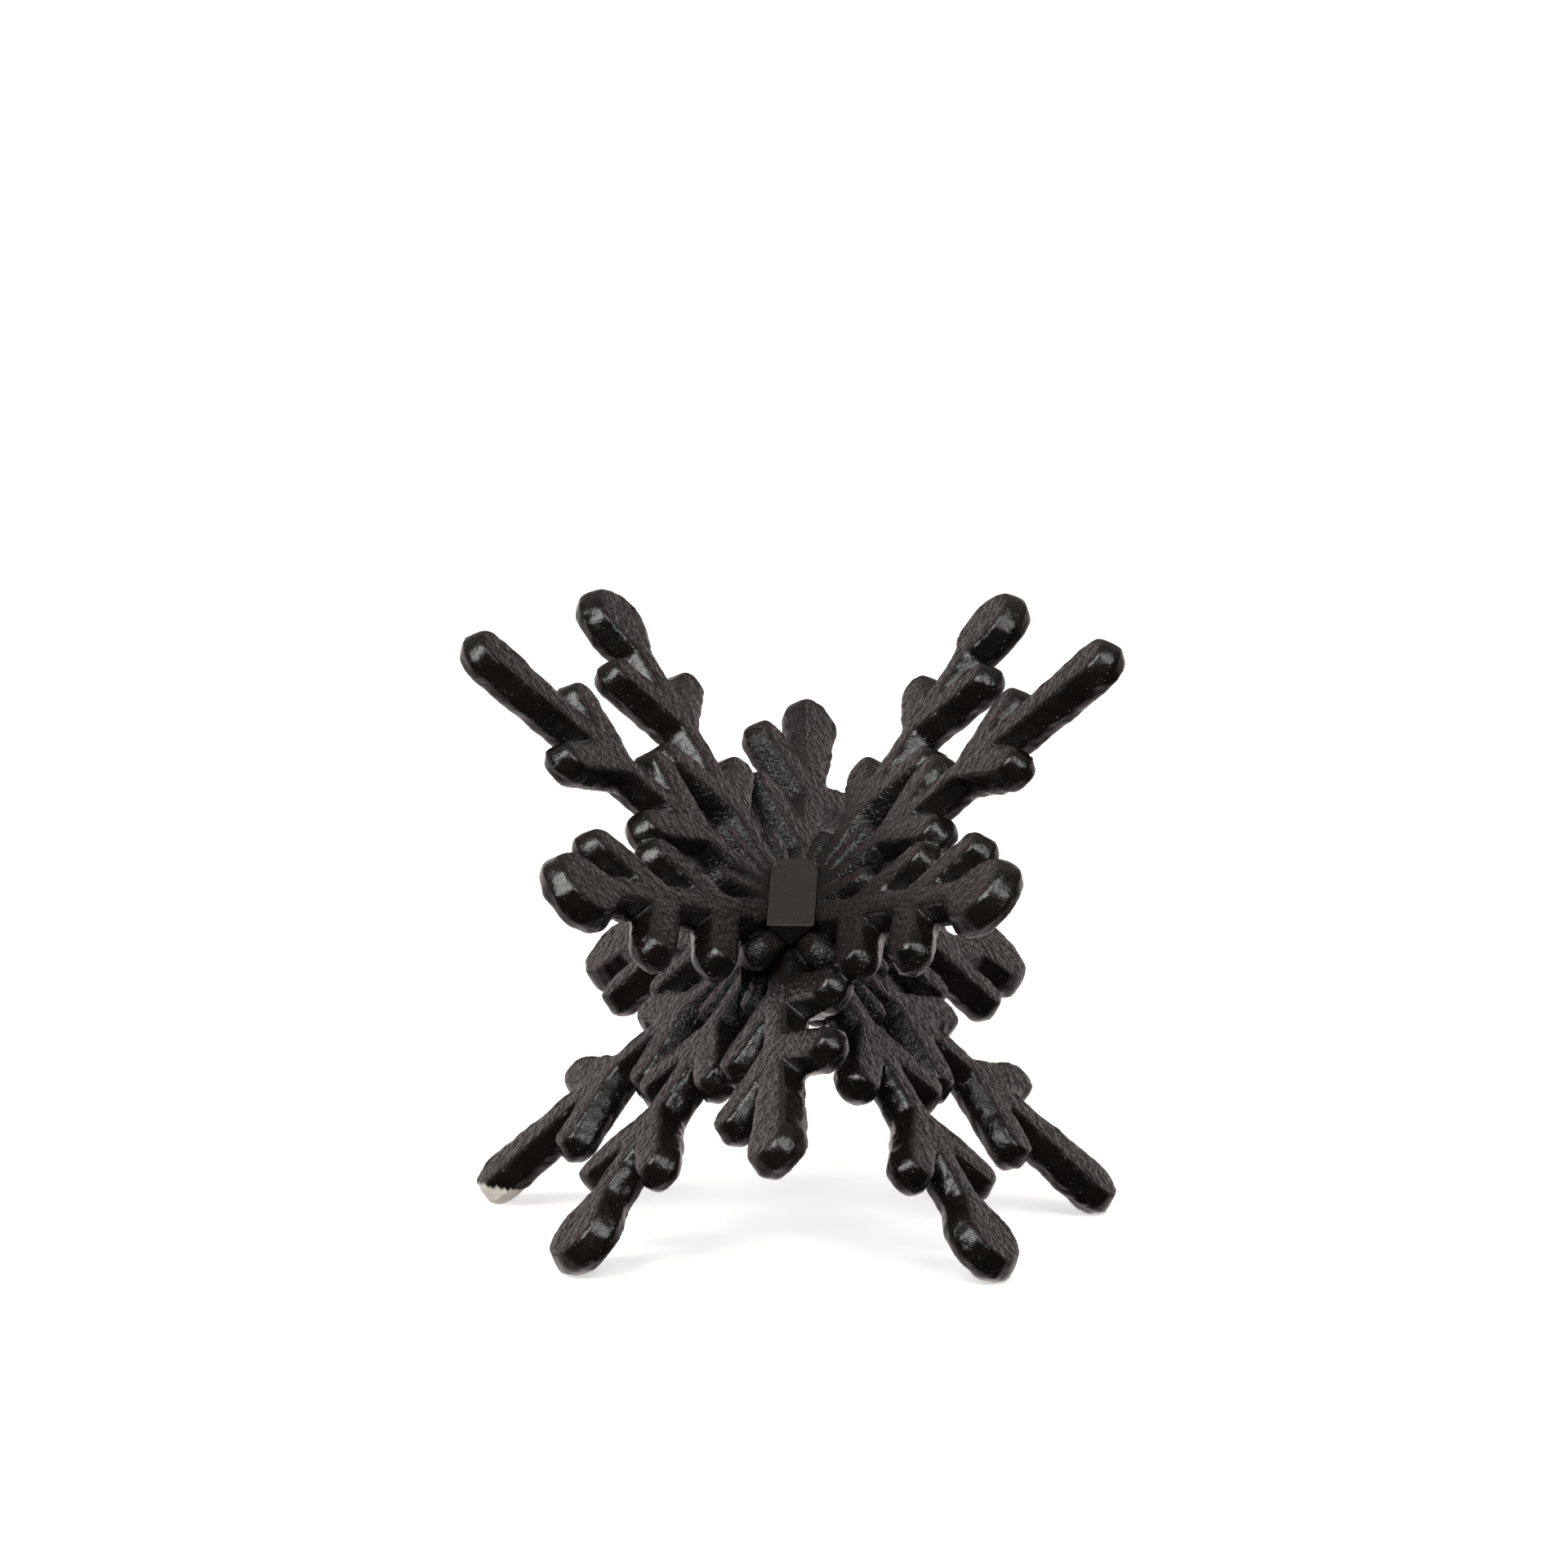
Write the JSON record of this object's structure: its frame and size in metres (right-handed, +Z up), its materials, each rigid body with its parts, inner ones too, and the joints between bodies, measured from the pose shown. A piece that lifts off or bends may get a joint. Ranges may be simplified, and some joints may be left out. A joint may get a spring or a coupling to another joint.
{
  "type": "magnetic desk sculpture",
  "caption": "Free-standing snow crystal sculpture: cast plates slotted into each other at right angles around a magnetic hub, standing on its arm tips.",
  "frame": {"origin": "on the table, under the centre of the crystal, midway between its extremes in X and Y", "axes": "+Z up; -Y is the front, where the shared axis of the two plates leans down towards the viewer; +X to the viewer's right. The left-leaning plate rises to -X and the right-leaning plate to +X, each at 45 degrees before the small tilt back"},
  "size_m": [0.1084, 0.1422, 0.1031],
  "materials": {
    "cast_plate": "black paint on rough casting: matte grained faces, glossy lumpy edges",
    "hub_block": "smooth satin black",
    "magnet": "nickel plated"
  },
  "bodies": {
    "root": {"left_leaning_plate": "cast_plate", "hub_block_top": "hub_block", "hub_block_left": "hub_block", "hub_block_right": "hub_block", "hub_block_bottom": "hub_block", "magnet_top": "magnet", "magnet_left": "magnet", "magnet_right": "magnet", "magnet_bottom": "magnet"},
    "sliding_plate": {"right_leaning_plate": "cast_plate"}
  },
  "joints": [
    {"name": "plate_slide", "type": "slide", "parent": "root", "child": "sliding_plate", "axis": [0, -0.9457, -0.325], "range_m": [0, 0.024]}
  ]
}
